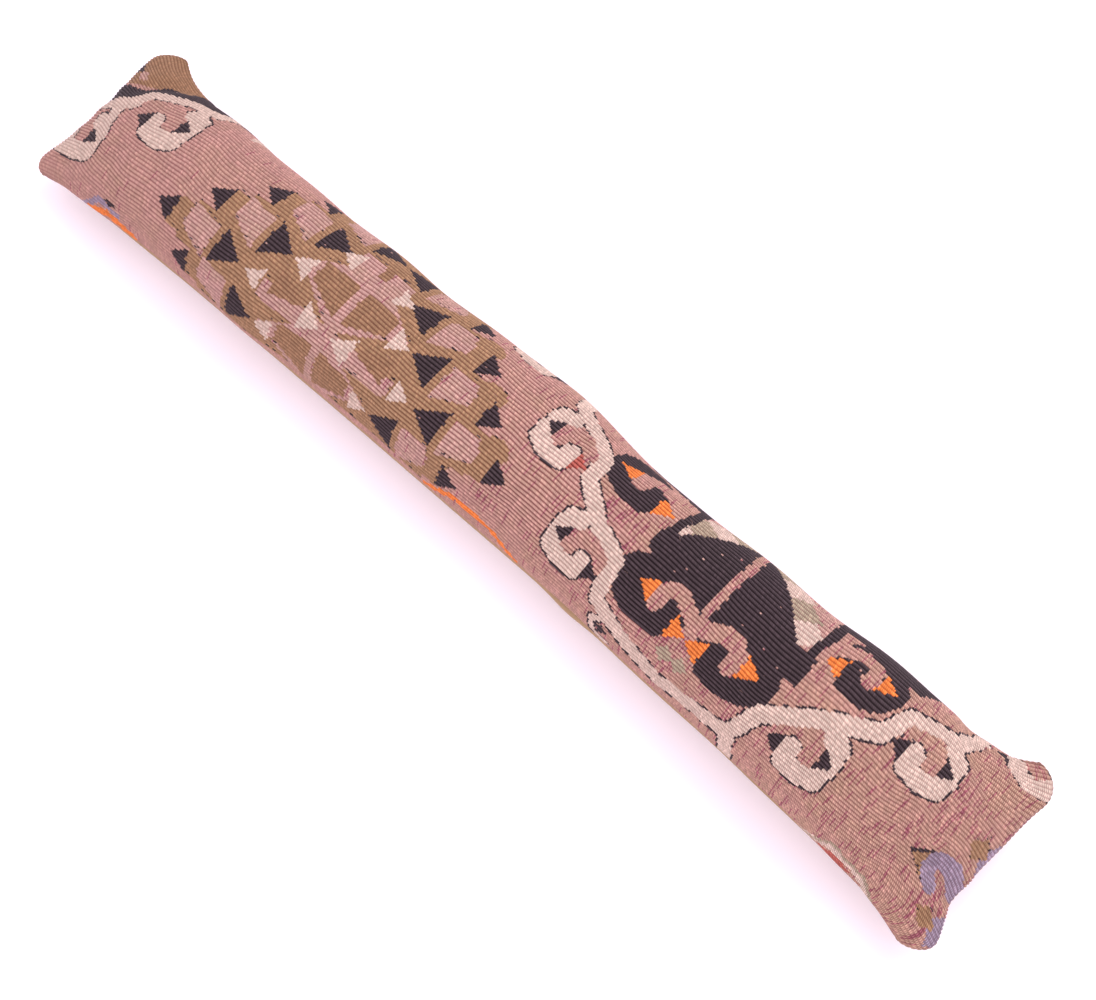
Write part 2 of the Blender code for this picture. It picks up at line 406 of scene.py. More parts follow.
@functools.lru_cache(maxsize=1)
def settling():
    """How far the stuffing moves the front and the back, as two grids of steps in metres."""
    stuffing = bpy.context.scene.excluder_stuffing
    stations = np.linspace(0.0, 1.0, SIM_ROWS + 1)
    front = folded(stations, SIM_COLUMNS, front=True)
    back = folded(stations, SIM_COLUMNS, front=False)
    mesh, front_index, back_index = bag_mesh(front, back)
    bag = added("stuffed_bag", mesh)
    start = places_of(mesh)
    from_seam = np.abs(start[:, 2] - seam_plane(start[:, 1]))
    add_group(bag, "held", start[:, 2] < RESTING)
    add_group(bag, "gathered", np.clip(1.0 - from_seam / GATHER_REACH, 0.0, 1.0))
    cloth = bag.modifiers.new("stuffing", "CLOTH")
    for name, value in CLOTH.items():
        setattr(cloth.settings, name, value)
    cloth.settings.uniform_pressure_force = stuffing.pressure
    cloth.settings.shrink_max = stuffing.gather
    cloth.settings.effector_weights.gravity = 0.0
    cloth.point_cache.frame_start = 1
    cloth.point_cache.frame_end = stuffing.frames
    for number in range(1, stuffing.frames + 1):
        bpy.context.scene.frame_set(number)
    settled = places_of(bag.evaluated_get(bpy.context.evaluated_depsgraph_get()).data)
    bpy.context.scene.frame_set(1)
    bpy.data.objects.remove(bag, do_unlink=True)
    bpy.data.meshes.remove(mesh)
    moved = settled - start
    if not np.isfinite(moved).all():
        raise RuntimeError("the cloth simulation did not settle")
    moved = without_drift(moved, start)
    length = np.linalg.norm(moved, axis=1, keepdims=True)
    moved *= stuffing.cap * np.tanh(length / stuffing.cap) / np.maximum(length, 1e-9)
    return moved[front_index], moved[back_index]


def read_between(grid, stations, shares):
    """A grid of steps read smoothly at other stations and shares of the width."""
    rows, columns = grid.shape[0] - 1, grid.shape[1] - 1
    r, c = np.asarray(stations) * rows, np.asarray(shares) * columns
    r0, c0 = np.clip(r.astype(int), 0, rows - 1), np.clip(c.astype(int), 0, columns - 1)
    t, s = (r - r0)[:, None, None], (c - c0)[None, :, None]
    t, s = t * t * (3 - 2 * t), s * s * (3 - 2 * s)
    low = grid[r0][:, c0] * (1 - s) + grid[r0][:, c0 + 1] * s
    high = grid[r0 + 1][:, c0] * (1 - s) + grid[r0 + 1][:, c0 + 1] * s
    return low * (1 - t) + high * t


def stuffed(stations, columns, front):
    """One panel as it lies on the stuffing, with its folds and the settling."""
    points = folded(stations, columns, front)
    steps = settling()[0 if front else 1]
    points = points + read_between(steps, stations, np.linspace(0.0, 1.0, columns + 1))
    points[..., 2] = np.clip(points[..., 2], 0.0, None)
    return points


def turn_in(points, depth, reach):
    """Rolls a panel's rim in towards the seam, so that both panels meet in a groove."""
    near_rim = np.exp(-((rim_distance(points) / reach) ** 2))
    middle = points.copy()
    middle[..., 1] = 0.0
    middle[..., 0] = np.clip(points[..., 0], -LENGTH / 2 + END_REACH, LENGTH / 2 - END_REACH)
    inwards = middle - points
    inwards[..., 2] = 0.0
    inwards /= np.maximum(np.linalg.norm(inwards, axis=2, keepdims=True), 1e-6)
    return points + inwards * (depth * near_rim)[..., None]


# ---------------- the chart: which yarn each rib carries at each weft

WEFT_COUNT = 550
STRANDS = 3  # columns of the mesh and of the chart in each rib
FRONT_COLUMNS = STRANDS * RIB_COUNT
TURN_SLANT = 0.5  # how much a turn of the yarn slants within its rib
STEPS_ACROSS = 54  # the chart is ruled in this many steps from seam to seam
STEP = 3.26  # mm of cloth in a step
FAR_EDGE = (STEPS_ACROSS, STEPS_ACROSS)
CHART_SEED = 11
EDGE_WOBBLE = 0.5  # mm that a yarn's turn strays from rib to rib
EDGE_WEFTS = 5  # a gap in a dark outline is this long

YARNS = ("rose", "pink", "olive", "umber", "charcoal", "cream", "orange", "brick", "lilac", "sage", "magenta")
GROUND = ("rose", "pink")

# The ram's horn: its middle line, as mm in from the closed side and ribs from its middle
HORN = ((16, 5.2), (9, 4.4), (8, 0), (9, -4), (20, -5.4), (33, -5.2), (34, -2))
HORN_WIDTH = 13.5
HORN_EDGE = 1.3
HORN_HOLLOW = ((21, -1.5), (22, 2.5), (34, 3.2), (50, 0.8))
HOLLOW_WIDTH = 12.0
OUTER_TOOTH = (40, 11, 2.8, -3.0)  # base, length, half height and place across
INNER_TOOTH = (15.5, -11, 2.6, 0.3)


class Chart:
    """x is in mm along the tube from its middle, and rib is in steps of the chart from the near seam."""

    def __init__(self, seed):
        self.random = np.random.default_rng(seed)
        places = (np.arange(WEFT_COUNT) + 0.5) / WEFT_COUNT - 0.5
        strays = np.repeat(self.random.normal(0.0, EDGE_WOBBLE, (1, RIB_COUNT)), STRANDS, axis=1)
        self.x = places[:, None] * LENGTH / MM + strays
        strand = (np.arange(FRONT_COLUMNS)[None] + 0.5) / STRANDS
        middle = np.floor(strand) + 0.5
        along = places[:, None] * LENGTH
        self.strand = STEPS_ACROSS * rib_place(along, strand / RIB_COUNT)
        turned = (middle + TURN_SLANT * (strand - middle)) / RIB_COUNT
        self.rib = STEPS_ACROSS * rib_place(along, turned)
        self.yarn = np.full(self.x.shape, YARNS.index("rose"))

    def has(self, *yarns):
        return np.isin(self.yarn, [YARNS.index(name) for name in yarns])

    def paint(self, where, yarn, over=YARNS):
        self.yarn[where & self.has(*over)] = YARNS.index(yarn)

    def block(self, x0, x1, low, high, yarn, lean=0.0, over=YARNS):
        """A bar of one yarn. Its ends lean by this many mm from rib to rib."""
        x = self.x - lean * (self.rib - (low + high) / 2)
        self.paint((x >= x0) & (x <= x1) & (self.rib >= low) & (self.rib <= high), yarn, over)

    def bar(self, x, half, low, high, yarn):
        self.block(x - half, x + half, low, high, yarn)

    def tooth(self, base, rib, length, half, yarn):
        """A stepped triangle that points along the ribs, backwards where its length is below zero."""
        t = (self.x - base) / length
        self.paint((t >= 0) & (t <= 1) & (np.abs(self.rib - rib) <= half * (1 - t)), yarn)

    def peak(self, x, low, high, half, yarn):
        """A stepped triangle that points across the ribs, towards the far seam."""
        t = (self.rib - low) / (high - low)
        self.paint((t >= 0) & (t <= 1) & (np.abs(self.x - x) <= half * (1 - t)), yarn)

    def lozenge(self, x, rib, half_length, half_height, yarn, over=YARNS, power=1):
        along, across = np.abs(self.x - x) / half_length, np.abs(self.rib - rib) / half_height
        self.paint(along**power + across**power <= 1, yarn, over)

    def oval(self, x, rib, half_length, half_height, yarn):
        self.lozenge(x, rib, half_length, half_height, yarn, power=2)

    def away(self, stops, ribs):
        """How far each place is from a line through the stops, in mm of cloth."""
        nearest = np.full(self.x.shape, np.inf)
        for (x0, rib0), (x1, rib1) in zip(stops, stops[1:]):
            run_x, run_y = x1 - x0, (rib1 - rib0) * STEP
            dx, dy = self.x - x0, (ribs - rib0) * STEP
            t = np.clip((dx * run_x + dy * run_y) / (run_x**2 + run_y**2), 0.0, 1.0)
            nearest = np.minimum(nearest, np.hypot(dx - t * run_x, dy - t * run_y))
        return nearest

    def band(self, stops, width, yarn, edge=None, gaps=0.0):
        """A bar of one yarn through the stops. Its edge has another yarn, with this share of gaps in it."""
        if edge is not None:
            rows = -(-WEFT_COUNT // EDGE_WEFTS)
            kept = self.random.random((rows, RIB_COUNT)) >= gaps
            kept = np.repeat(np.repeat(kept, EDGE_WEFTS, axis=0)[:WEFT_COUNT], STRANDS, axis=1)
            reach = self.away(stops, self.strand)
            self.paint(kept & (reach <= width / 2 + HORN_EDGE), edge, over=GROUND)
        self.paint(self.away(stops, self.rib) <= width / 2, yarn)

    def wedge(self, outer, inner, low, high, yarn):
        """A bar whose lower and upper edges each run straight from its outer end to its inner one."""
        t = (self.x - outer) / (inner - outer)
        above = self.rib >= low[0] + (low[1] - low[0]) * t
        below = self.rib <= high[0] + (high[1] - high[0]) * t
        self.paint((t >= 0) & (t <= 1) & above & below, yarn)

    def horn(self, side, rib, way, ring="cream", teeth=("charcoal", "charcoal"), size=1.0, rise=1.0,
             edge=None, point=1.0):
        """A ram's horn, closed at x = side, open towards way, with a tooth at its end and in its hollow."""
        reach = way * size
        stops = [(side + reach * u, rib + rise * v) for u, v in HORN]
        hollow = [(side + reach * u, rib + rise * v) for u, v in HORN_HOLLOW]
        self.band(stops, HORN_WIDTH * size, ring, edge=edge)
        self.band(hollow, HOLLOW_WIDTH * size, "rose")
        self.band(stops, HORN_WIDTH * size, ring)
        for (base, length, half, across), yarn in zip((OUTER_TOOTH, INNER_TOOTH), teeth):
            self.tooth(side + reach * base, rib + rise * across, reach * length * point, half * rise, yarn)


# The lattice medallion: each row of teeth is one step shorter than the one beside it
LATTICE_MIDDLE = -142
LATTICE_FIRST_RIB = 8.6
LATTICE_ROW = 8.7
LATTICE_ROWS = 5
LATTICE_WIDEST = 1
LATTICE_HALF = 163
LATTICE_STEP = 30
LATTICE_BLOCK = 13  # from a row's end to its pink cell
LATTICE_CELL = 28
LATTICE_TOOTH = 17
LATTICE_INNER = 47  # from a row's end to the base of its inner tooth
LATTICE_INNER_TOOTH = 25
LATTICE_CREAM = 91  # from a row's end to the base of its cream tooth
LATTICE_CREAM_TOOTH = 16


def lattice_medallion(chart):
    """Olive ribbons round pink cells. Dark teeth end each row, and cream ones are round the heart."""
    middle = LATTICE_MIDDLE
    rows = [
        (LATTICE_FIRST_RIB + LATTICE_ROW * row, LATTICE_HALF - LATTICE_STEP * abs(row - LATTICE_WIDEST))
        for row in range(LATTICE_ROWS)
    ]
    for rib, half in rows:
        chart.bar(middle, half, rib - 3.4, rib + 3.6, "olive")
        chart.bar(middle, half - LATTICE_BLOCK, rib - 4.6, rib + 5.4, "olive")
    for rib, half in rows:
        for side in (-1, 1):
            end = middle + side * half
            cell = end - side * LATTICE_BLOCK
            low, high = (rib - 1.2, rib - 5.0), (rib + 4.4, rib + 3.6)
            chart.wedge(cell, cell - side * LATTICE_CELL, low, high, "pink")
            if side > 0:
                chart.oval(end - 6, rib + 4.2, 12, 2.7, "olive")
            chart.tooth(end, rib, side * LATTICE_TOOTH, 3.5, "charcoal")
            chart.tooth(end - side * LATTICE_INNER, rib, -side * LATTICE_INNER_TOOTH, 4.5, "charcoal")
    for rib, half in (rows[0], rows[2]):
        heart = half - LATTICE_CREAM
        chart.lozenge(middle, rib + 1, heart + 12, 9.0, "pink", over=("olive",))
        for side in (-1, 1):
            outer, inner = middle + side * (heart - 5), middle + side * 4
            chart.wedge(outer, inner, (rib - 1, rib - 5), (rib + 3.5, rib + 5), "umber")
            chart.tooth(middle + side * heart, rib, side * LATTICE_CREAM_TOOTH, 3.0, "cream")
    rib = rows[LATTICE_WIDEST][0]
    chart.bar(middle, 66, rib - 3.2, rib + 1.6, "pink")
    for side in (-1, 1):
        outer, inner = middle + side * 58, middle + side * 30
        chart.wedge(outer, inner, (rib - 1, rib + 1), (rib + 5.5, rib + 2.5), "umber")
        chart.tooth(middle + side * 68, rib, side * LATTICE_CREAM_TOOTH, 2.8, "cream")
        chart.tooth(middle + side * 25, rib, -side * 19, 3.7, "cream")
    rib = rows[LATTICE_WIDEST + 2][0]
    chart.bar(middle, 24, rib - 4.6, rib + 3.2, "pink")
    chart.bar(middle, 4, rib, rib + 4, "umber")
    for side in (-1, 1):
        chart.tooth(middle + side * 20, rib - 0.6, side * LATTICE_CREAM_TOOTH, 2.8, "cream")


# The dark medallion, the same on both sides of its axis
DARK_AXIS = 205
DARK_BODY = 60
DARK_BARS = (((147, 31), (157, 52)), ((274, 30), (281, 52)))
DARK_SHOULDERS = ((143, 150), (260, 281))
DARK_HORNS = (
    dict(side=154, rib=21.4, way=1, size=0.92, rise=1.0),
    dict(side=262, rib=21.2, way=-1, size=1.04, rise=1.0),
    dict(side=84, rib=39.0, way=1, size=1.08, rise=1.05),
    dict(side=334, rib=36.6, way=-1, size=0.93, rise=1.0),
)


def dark_medallion(chart):
    """A dark body with a rose axis, four ram's horns with orange teeth, and pale steps on both shoulders."""
    axis = DARK_AXIS
    chart.block(axis - DARK_BODY + 4, axis + DARK_BODY + 10, 31, STEPS_ACROSS, "pink")
    for side in (-1, 1):
        for step, yarn in enumerate(("cream", "sage", "cream", "sage")):
            x, rib = axis + side * (54 - 12 * step), 35 + 4.4 * step
            chart.lozenge(x, rib, 19, 4.4, yarn, over=("pink", "cream", "sage"))
    for outer, inner, low in ((98, 155, (49, 44)), (276, 345, (43, 42)), (362, 345, (50, 42))):
        chart.wedge(outer, inner, low, FAR_EDGE, "charcoal")
    for bar in DARK_BARS:
        chart.band(bar, 7.5, "charcoal")
    for outer, inner in DARK_SHOULDERS:
        chart.block(outer, inner, 25, 31.5, "charcoal")
    chart.bar(axis, DARK_BODY, 21, 31.5, "charcoal")
    chart.peak(axis, 31, 50, DARK_BODY, "charcoal")
    for side in (-1, 1):
        chart.oval(axis + side * 38, 21.3, 32, 7.2, "charcoal")
    chart.lozenge(138, 26.6, 12, 1.7, "rose")
    for place in DARK_HORNS:
        middle = place["side"] + place["way"] * 20
        if place["rib"] > 30:
            chart.oval(middle, place["rib"] + 0.5, 26, 7.8, "charcoal")
        chart.horn(ring="charcoal", teeth=("orange", "orange"), point=1.35, **place)
    chart.bar(axis, 3.5, 21, STEPS_ACROSS, "rose")
    chart.block(axis - 6, axis + 5, 12, 22, "rose", over=("charcoal",))


CREAM_WIDTH = 12.0
EDGE_GAPS = 0.25
# The cream bands, through a few round places each
CREAM_BANDS = (
    ((31, 54), (34, 44), (62, 40), (78, 36), (80, 30), (108, 24), (134, 21), (138, 14)),
    ((140, 12), (170, 9), (205, 6), (240, 7.5), (266, 9), (275, 17), (310, 24), (342, 29), (350, 36),
     (384, 41)),
    ((384, 41), (394, 50), (396, 54)),
    ((266, 9), (272, 2)),
    ((-334, 54), (-348, 43), (-376, 41), (-404, 37), (-412, 31), (-452, 24)),
    ((-353, 37), (-358, 42)),
    ((-409, 20), (-419, 28)),
)
BAND_HORNS = (
    dict(side=22, rib=34.0, way=1, teeth=("brick", "charcoal")),
    dict(side=80, rib=17.7, way=1, rise=0.9),
    dict(side=338, rib=18.0, way=-1, rise=0.9),
    dict(side=400, rib=33.0, way=-1),
    dict(side=-337, rib=32.5, way=-1, size=1.2),
    dict(side=-402, rib=17.0, way=-1, size=1.25),
    dict(side=-42, rib=51.0, way=1),
)


def bands_and_horns(chart):
    for stops in CREAM_BANDS:
        chart.band(stops, CREAM_WIDTH, "cream", edge="charcoal", gaps=EDGE_GAPS)
    for place in BAND_HORNS:
        chart.horn(edge="charcoal", **place)
    for stops in CREAM_BANDS:
        chart.band(stops, CREAM_WIDTH - 2.0, "cream")


def ends_and_edges(chart):
    """What the cut has left of other medallions, at both ends and along the near seam."""
    # Painted shade: the far ear at the start is charted in darker umber instead of olive, where it turns away
    # from the light.
    chart.wedge(-455, -378, (31, 49), FAR_EDGE, "umber")
    chart.lozenge(-455, 40, 18, 3.2, "charcoal")
    chart.lozenge(-433, 39.5, 6, 1.8, "pink")
    hook = ((-325, 51), (-348, 47.6), (-376, 45.6), (-402, 42.4), (-412, 35.6), (-452, 28.6))
    chart.band(hook, 18.0, "charcoal")
    chart.lozenge(-384, 49.5, 13, 5, "charcoal")
    chart.lozenge(-333, 51, 9, 5, "charcoal")
    chart.lozenge(-313, 50, 8, 7, "cream")
    chart.band(((-392, 1), (-374, 6.5), (-352, 5.5)), 5.0, "lilac")
    chart.lozenge(-362, 7.4, 9, 0.8, "charcoal")
    chart.band(((-384, 1.5), (-364, 4), (-336, 1.5)), 7.5, "orange")
    chart.band(((-18, 3), (10, 6), (45, 5), (72, 2)), 5.0, "orange")
    chart.band(((154, 10), (143, 7), (146, 3.5), (160, 3)), 5.5, "cream", edge="charcoal")
    chart.lozenge(153, 6, 6, 1.3, "charcoal")
    chart.band(((340, 0.5), (364, 5.5), (385, 4.5), (410, 0.5)), 6.0, "cream")
    chart.band(((345, 1), (364, 6.6), (392, 4.5), (412, 1)), 2.5, "sage")
    chart.lozenge(371, 2.6, 14, 1.9, "brick")
    chart.tooth(421, 17.5, -19, 3.6, "charcoal")
    chart.tooth(421, 17.2, -16, 3.2, "olive")
    chart.band(((426, 15), (422, 17), (424, 20), (434, 20.6), (447, 18)), 12.0, "lilac")
    chart.lozenge(450, 27.3, 10, 5, "lilac")
    chart.lozenge(438, 27.4, 9, 2.8, "olive")
    chart.lozenge(446, 9.6, 10, 3.8, "lilac")
    chart.lozenge(434, 9.6, 9, 2.3, "olive")
    chart.tooth(420, 50.5, -14, 3.0, "charcoal")
    chart.band(((422, 54), (423, 49), (433, 46.6), (455, 47.6)), 15.0, "cream", edge="charcoal", gaps=0.5)
    chart.lozenge(454, 51, 8, 1.2, "charcoal")
    chart.lozenge(200, 13, 8, 2, "sage")
    chart.lozenge(213, 13, 7, 2, "sage")
    for x0, x1 in ((163, 200), (212, 264)):
        chart.block(x0, x1, 1, 6, "rose", lean=1.5)


TURN_SHARE = 0.10
TURN_WEFTS = 2
SPECK_SHARE = 0.0018


def stray_turns(chart):
    """Dark dashes where the weaver turned a yarn on a slant, and pale warp showing through the dark wool."""
    olive, ground = chart.has("olive"), chart.has(*GROUND)
    turn = (olive & np.roll(ground, STRANDS, axis=1)) | (ground & np.roll(olive, STRANDS, axis=1))
    runs = chart.random.random((WEFT_COUNT // TURN_WEFTS, FRONT_COLUMNS)) < TURN_SHARE
    chart.paint(turn & np.repeat(runs, TURN_WEFTS, axis=0), "charcoal")
    specks = chart.random.random(chart.yarn.shape) < SPECK_SHARE
    chart.paint(specks, "pink", over=("charcoal",))


def woven_chart():
    chart = Chart(CHART_SEED)
    lattice_medallion(chart)
    dark_medallion(chart)
    ends_and_edges(chart)
    bands_and_horns(chart)
    stray_turns(chart)
    return chart


STREAK_SHARE = (0.006, 0.13)  # at the start and at the finish
STREAK_GROWTH = 2.2
# Where more of the magenta weft shows, in mm along, steps across and mm of reach
STREAK_PATCHES = named_rows(
    "x rib reach most",
    (112, 27, 16, 0.30),
    (196, 15, 14, 0.25),
    (242, 12, 16, 0.20),
    (205, 32, 9, 0.25),
    (30, 12, 14, 0.10),
    (440, 8, 18, 0.25),
)


def streak_shares(chart):
    """How much of each place on the rose ground a stray magenta weft covers, from 0 to 1."""
    first, last = STREAK_SHARE
    along = (np.arange(WEFT_COUNT)[:, None] + 0.5) / WEFT_COUNT
    share = first + (last - first) * along**STREAK_GROWTH + 0 * chart.x
    for patch in STREAK_PATCHES:
        away = np.hypot(chart.x - patch.x, (chart.rib - patch.rib) * STEP)
        share += patch.most * np.exp(-((away / patch.reach) ** 2))
    return np.where(chart.has(*GROUND), share, 0.0)


# ---------------- node trees


class Wire:
    """An output socket. Arithmetic on wires adds the Math nodes that work it out."""

    def __init__(self, tree, socket):
        self.tree = tree
        self.socket = socket

    def maths(self, operation, *others):
        return self.tree.maths(operation, self, *others)

    def __rsub__(self, other):
        return self.tree.maths("SUBTRACT", other, self)

    __add__ = __radd__ = functools.partialmethod(maths, "ADD")
    __sub__ = functools.partialmethod(maths, "SUBTRACT")
    __mul__ = __rmul__ = functools.partialmethod(maths, "MULTIPLY")
    __pow__ = functools.partialmethod(maths, "POWER")
    __gt__ = functools.partialmethod(maths, "GREATER_THAN")
    at_most = functools.partialmethod(maths, "MINIMUM")
    at_least = functools.partialmethod(maths, "MAXIMUM")
    fraction = functools.partialmethod(maths, "FRACT")
    floor = functools.partialmethod(maths, "FLOOR")
    sine = functools.partialmethod(maths, "SINE")
    size = functools.partialmethod(maths, "ABSOLUTE")


class Tree:
    """A node tree that grows by one method."""

    def __init__(self, nodes):
        self.nodes = nodes

    def fill_in(self, node, sockets):
        """Links or sets a node's input sockets."""
        for name, value in sockets.items():
            if isinstance(value, Wire):
                self.nodes.links.new(value.socket, node.inputs[name])
            else:
                node.inputs[name].default_value = value

    def add(self, kind, settings=None, sockets=None, output=0):
        node = self.nodes.nodes.new(kind)
        for name, value in (settings or {}).items():
            setattr(node, name, value)
        self.fill_in(node, sockets or {})
        return Wire(self, node.outputs[output])

    def maths(self, operation, *values):
        return self.add("ShaderNodeMath", {"operation": operation}, dict(enumerate(values)))

    def point(self, **places):
        return self.add("ShaderNodeCombineXYZ", sockets=places)


def fabric(name, colour):
    """A new material with its tree and its shader, and a plain colour for the viewport."""
    material = bpy.data.materials.new(name)
    material.use_nodes = True
    material.diffuse_color = (*colour, 1.0)
    return material, Tree(material.node_tree), material.node_tree.nodes["Principled BSDF"]


def scaled(tree, colour, factor):
    """A colour made lighter or darker."""
    return tree.add("ShaderNodeVectorMath", {"operation": "SCALE"}, {0: colour, "Scale": factor})


def mixed(tree, factor, *colours):
    """Between two colours, each one a wire or three numbers."""
    first, second = (colour if isinstance(colour, Wire) else (*colour, 1.0) for colour in colours)
    return tree.add("ShaderNodeMix", {"data_type": "RGBA"}, {0: factor, 6: first, 7: second}, output=2)


def tinted(tree, colour, factor, first, second):
    """A colour seen through a tint that goes from the first to the second."""
    tint = mixed(tree, factor, first, second)
    return tree.add("ShaderNodeVectorMath", {"operation": "MULTIPLY"}, {0: colour, 1: tint})


def speckle(tree, **cell):
    """A random number from 0 to 1 for each cell."""
    return tree.add("ShaderNodeTexWhiteNoise", {"noise_dimensions": "3D"}, {"Vector": tree.point(**cell)})


def bumped(tree, strength, distance, height):
    return tree.add("ShaderNodeBump", sockets={"Strength": strength, "Distance": distance, "Height": height})


def along_and_across(tree, uv_map):
    place = tree.add("ShaderNodeUVMap", {"uv_map": uv_map})
    along = tree.add("ShaderNodeSeparateXYZ", sockets={0: place}, output="X")
    across = tree.add("ShaderNodeSeparateXYZ", sockets={0: place}, output="Y")
    return along, across


def noise(tree, place, scale, detail):
    """Soft noise from 0 to 1."""
    return tree.add("ShaderNodeTexNoise", sockets={"Vector": place, "Scale": scale, "Detail": detail})


def grain(tree, x, y, detail=2.0):
    return noise(tree, tree.point(X=x, Y=y), 1.0, detail)


NO_TINT = (1.0, 1.0, 1.0)
# Painted light on the ribs: the ridges are tinted lighter as a painted highlight, and the furrows darker as
# painted shade.
RIDGE_PAINTED_HIGHLIGHT = (1.57, 1.96, 1.88)
FURROW_PAINTED_SHADE = (0.43, 0.20, 0.25)
AGED_TINT = (0.86, 0.93, 0.82)  # the rose has gone tan in places
FINISH_TINT = (1.00, 1.045, 0.96)
# A pale colour mixed into the ridges as a painted highlight.
RIDGE_HIGHLIGHT_COLOUR = (0.62, 0.47, 0.42)
FURROW_BY_PALENESS = (1.25, 1.9)  # pale wool gets a flatter bump and weaker painted shade in its furrows than dark wool
DARK_DEPTH = (2.10, 14.0)  # and the darkest gets the deepest bump and painted furrow shade of all
MOTIF_DEPTH = 0.83  # the motifs get a little less bump and painted furrow shade than the rose ground
DEEPEST_AT = 0.495  # the furrows' bump and painted shade are deepest this far along, in metres
DEEPEST = 1.03
DEPTH_LOST = 0.40  # from there to the ends
SIDE_RIBS = 16  # the furrows' bump and painted shade are weaker over this many ribs on the near side
SIDE_DEPTH = 0.25
FURROW_MEAN = 0.37
YARN_SLANT = 0.35  # how far a weft runs back from furrow to furrow, in wefts
TONE = 0.70  # and how much more comes from each of these
ABRASH_TONE = 0.16
WEAR_TONE = 0.18
FLECK_TONE = (0.18, 0.12)  # at the start, and how much more at the finish
# Painted light and shade along each weft bead, at the start, and how much more at the finish.
BEAD_TONE = (0.11, 0.40)
FIBRE_TONE = 0.50
FADE_FROM = 0.85
FADE_RISE = 2.2
DASH_RIBS = 3
DASH_PITCH = 0.0009  # a stray weft is this thick
DASH_SCATTER = 0.618
DASH_SEED = 7.0
STREAK_COVER = 0.76  # a stray weft hides this much of the yarn under it


def kilim_material():
    kilim = bpy.context.scene.excluder_kilim
    material, tree, shader = fabric("old_kilim", kilim.rose)
    along, rib = along_and_across(tree, "weave")
    worn = (along * (1 / LENGTH)) ** 3
    phase = rib.fraction() * 2 - 1
    off_deepest = ((along - DEEPEST_AT) * (2 / LENGTH)).size()
    side = (rib * (1 / SIDE_RIBS)).at_most(1.0)
    yarn = tree.add("ShaderNodeAttribute", {"attribute_name": "yarn"}, output="Color")
    share = tree.add("ShaderNodeAttribute", {"attribute_name": "yarn"}, output="Alpha")
    most, less = FURROW_BY_PALENESS
    paleness = tree.add("ShaderNodeSeparateColor", sockets={0: yarn}, output="Green")
    furrow_by_paleness = (most - paleness * less).at_least(DARK_DEPTH[0] - paleness * DARK_DEPTH[1])
    ground = share > 0.001
    motif_furrow = ground * (1 - MOTIF_DEPTH) + MOTIF_DEPTH
    # How strongly the furrows are bumped and painted in shade.
    depth = (DEEPEST - off_deepest * DEPTH_LOST) * (side * (1 - SIDE_DEPTH) + SIDE_DEPTH) * furrow_by_paleness * motif_furrow
    furrow = (phase.size() ** kilim.furrow_sharpness - FURROW_MEAN) * depth + FURROW_MEAN
    weft = along * (1 / kilim.weft_pitch) + phase * YARN_SLANT + rib.floor() * 0.5
    heather = speckle(tree, X=weft.floor(), Y=rib.floor())
    thin = (along * (1 / DASH_PITCH)).floor()
    run = (rib * (1 / DASH_RIBS) + (thin * DASH_SCATTER).fraction()).floor()
    dash = speckle(tree, X=thin, Y=run, Z=DASH_SEED)
    abrash = grain(tree, along * 60, rib * 0.05, detail=3.0)
    wear = grain(tree, along * 12, rib * 0.35)
    bead = (weft * math.tau).sine() * (1 - phase.size() ** 2)
    fibres = grain(tree, along * 2600, rib * 9)
    fleck = heather**8 * (worn * FLECK_TONE[1] + FLECK_TONE[0])
    tone = TONE + heather * kilim.heather + fleck + abrash * ABRASH_TONE + wear * WEAR_TONE
    # Painted light and shade along the weft beads.
    tone = tone + bead * (worn * BEAD_TONE[1] + BEAD_TONE[0])
    tone = tone + (fibres - 0.5) * (1 - side) * FIBRE_TONE
    streak = dash > 1 - share
    colour = mixed(tree, streak * STREAK_COVER, yarn, kilim.magenta)
    faded = ((abrash + wear - FADE_FROM) * FADE_RISE).at_most(1.0) * ground
    aged = tinted(tree, colour, faded, NO_TINT, AGED_TINT)
    aged = tinted(tree, aged, worn * ground, NO_TINT, FINISH_TINT)
    # Painted highlight on the ridges and painted shade in the furrows.
    lit = tinted(tree, aged, furrow, RIDGE_PAINTED_HIGHLIGHT, FURROW_PAINTED_SHADE)
    # Pale colour mixed into the ridges, a further painted highlight.
    ridge_lit = mixed(tree, (1 - furrow) * kilim.ridge_highlight, lit, RIDGE_HIGHLIGHT_COLOUR)
    height = bead * 0.5 + fibres * 0.35 - furrow * 0.6
    tree.fill_in(shader, {
        "Base Color": scaled(tree, ridge_lit, tone),
        "Normal": bumped(tree, 0.7, 0.0004, height),
        "Roughness": 0.84 + fibres * 0.12,
        "Specular IOR Level": 0.15,
        "Sheen Weight": 0.05,
        "Sheen Roughness": 0.5,
    })
    return material


def cotton_material():
    cotton = bpy.context.scene.excluder_cotton
    material, tree, shader = fabric("tan_cotton", cotton.tan)
    along, across = along_and_across(tree, "weave")
    warp = (along * (math.pi / cotton.thread_pitch)).sine().size()
    weft = (across * (math.pi / cotton.thread_pitch)).sine().size()
    slub = grain(tree, along * 1800, across * 120)
    fade = grain(tree, along * 14, across * 22, detail=3.0)
    tone = 0.70 + warp * weft * 0.16 + slub * 0.18 + fade * 0.22
    tree.fill_in(shader, {
        "Base Color": scaled(tree, tuple(cotton.tan), tone),
        "Normal": bumped(tree, 0.5, 0.0002, warp * weft + slub * 0.5),
        "Roughness": 0.80 + slub * 0.14,
        "Sheen Weight": 0.08,
    })
    return material


